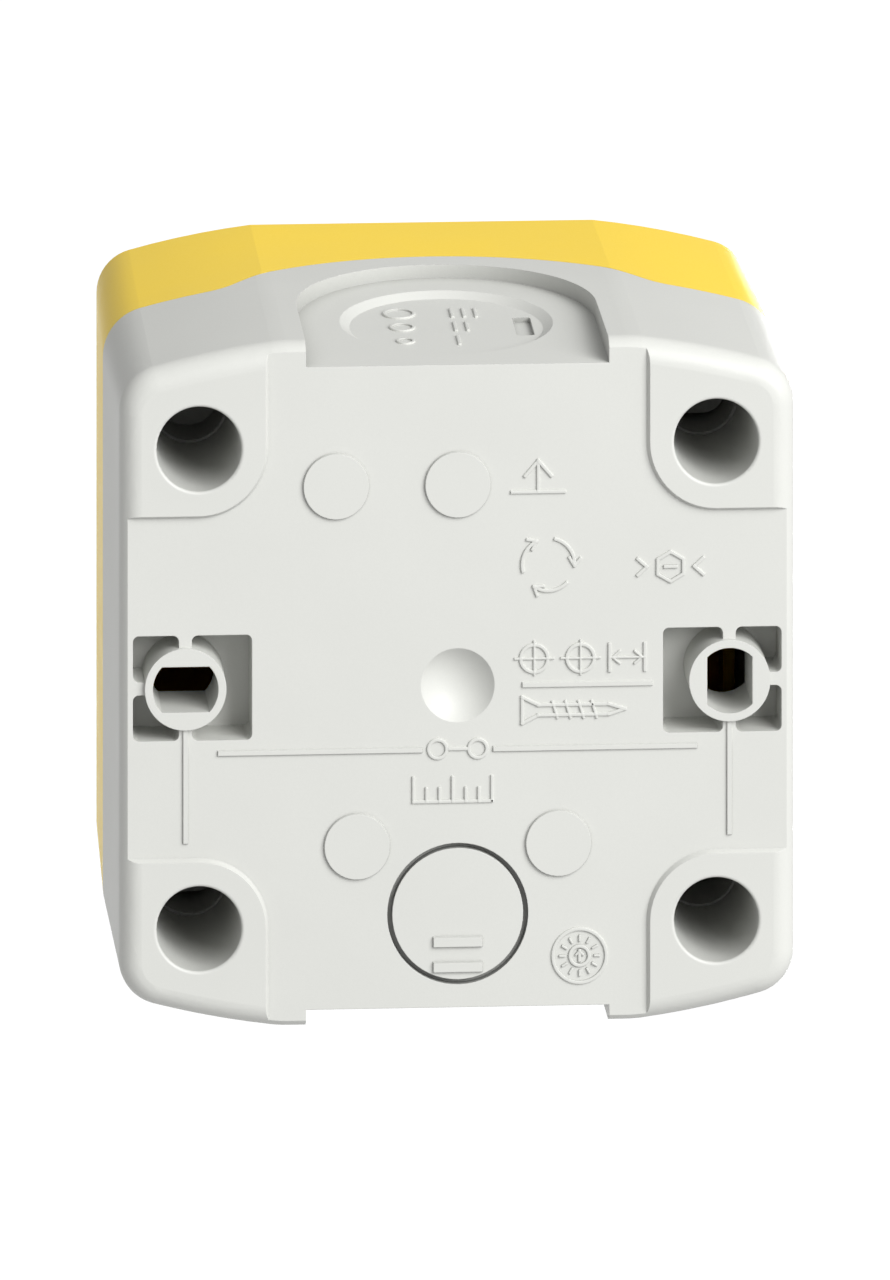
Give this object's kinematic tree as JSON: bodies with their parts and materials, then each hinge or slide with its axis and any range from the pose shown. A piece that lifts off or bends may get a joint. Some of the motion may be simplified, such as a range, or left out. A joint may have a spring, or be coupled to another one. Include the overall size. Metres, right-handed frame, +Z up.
{
  "type": "pedestrian push button",
  "caption": "Square surface box with a grey base and a yellow lid carrying a red palm button that works the contact blocks inside.",
  "frame": {"origin": "centre of the rear mounting plane, midway between the two wall screws", "axes": "+Z up, +Y out of the rear face into the wall, the button faces -Y, X across"},
  "size_m": [0.068, 0.075, 0.068],
  "materials": {
    "base_grey": "fine moulded, light grey",
    "lid_yellow": "fine moulded, yellow",
    "seal_rubber": "soft black rubber",
    "screw_steel": "zinc-plated steel",
    "retainer_nylon": "natural nylon",
    "nut_grey": "moulded, mid grey",
    "bezel_black": "black, semi-gloss",
    "ring_nut_grey": "dark grey moulded",
    "cap_red": "red, satin-gloss",
    "stem_white": "white acetal",
    "spring_steel": "drawn spring wire",
    "block_black": "glass-filled, dark",
    "plunger_red": "moulded, red",
    "plunger_green": "moulded, green",
    "contact_brass": "stamped strip"
  },
  "bodies": {
    "base": {"rear_base": "base_grey", "lid_nuts": "nut_grey", "terminal_screws": "screw_steel", "terminal_clamps": "screw_steel", "nc_block_housing": "block_black", "nc_block_cover": "block_black", "nc_fixed_contacts": "contact_brass", "nc_plunger_spring": "spring_steel", "no_block_housing": "block_black", "no_block_cover": "block_black", "no_fixed_contacts": "contact_brass", "no_plunger_spring": "spring_steel"},
    "lid": {"front_lid": "lid_yellow", "lid_gasket": "seal_rubber", "lid_screws": "screw_steel", "lid_screw_seals": "seal_rubber", "lid_screw_retainers": "retainer_nylon", "operator_body": "bezel_black", "bezel_gasket": "seal_rubber", "ring_nut": "ring_nut_grey", "stem_seal": "seal_rubber", "return_spring": "spring_steel"},
    "button": {"button_cap": "cap_red", "push_stem": "stem_white"},
    "nc_moving": {"nc_plunger": "plunger_red", "nc_bridge": "contact_brass", "nc_contact_spring": "spring_steel"},
    "no_moving": {"no_plunger": "plunger_green"},
    "no_contact": {"no_bridge": "contact_brass", "no_contact_spring": "spring_steel"}
  },
  "joints": [
    {"name": "lid_lift", "type": "slide", "parent": "base", "child": "lid", "axis": [0, -1, 0], "range_m": [0, 0.05]},
    {"name": "button_press", "type": "slide", "parent": "lid", "child": "button", "axis": [0, 1, 0], "range_m": [0, 0.0043], "stiffness_N_per_m": 1100, "springref_m": -0.003, "deforming": ["return_spring"]},
    {"name": "nc_plunger_slide", "type": "slide", "parent": "base", "child": "nc_moving", "axis": [0, 1, 0], "range_m": [0, 0.0043], "deforming": ["nc_plunger_spring"]},
    {"name": "no_plunger_slide", "type": "slide", "parent": "base", "child": "no_moving", "axis": [0, 1, 0], "range_m": [0, 0.0043], "deforming": ["no_plunger_spring"]},
    {"name": "no_bridge_slide", "type": "slide", "parent": "base", "child": "no_contact", "axis": [0, 1, 0], "range_m": [0, 0.0026], "deforming": ["no_contact_spring"]}
  ],
  "couplings": [
    {"joint": "nc_plunger_slide", "follows": "button_press", "ratio": 1},
    {"joint": "no_plunger_slide", "follows": "button_press", "ratio": 1},
    {"joint": "no_bridge_slide", "follows": "button_press", "ratio": 0.6046}
  ]
}
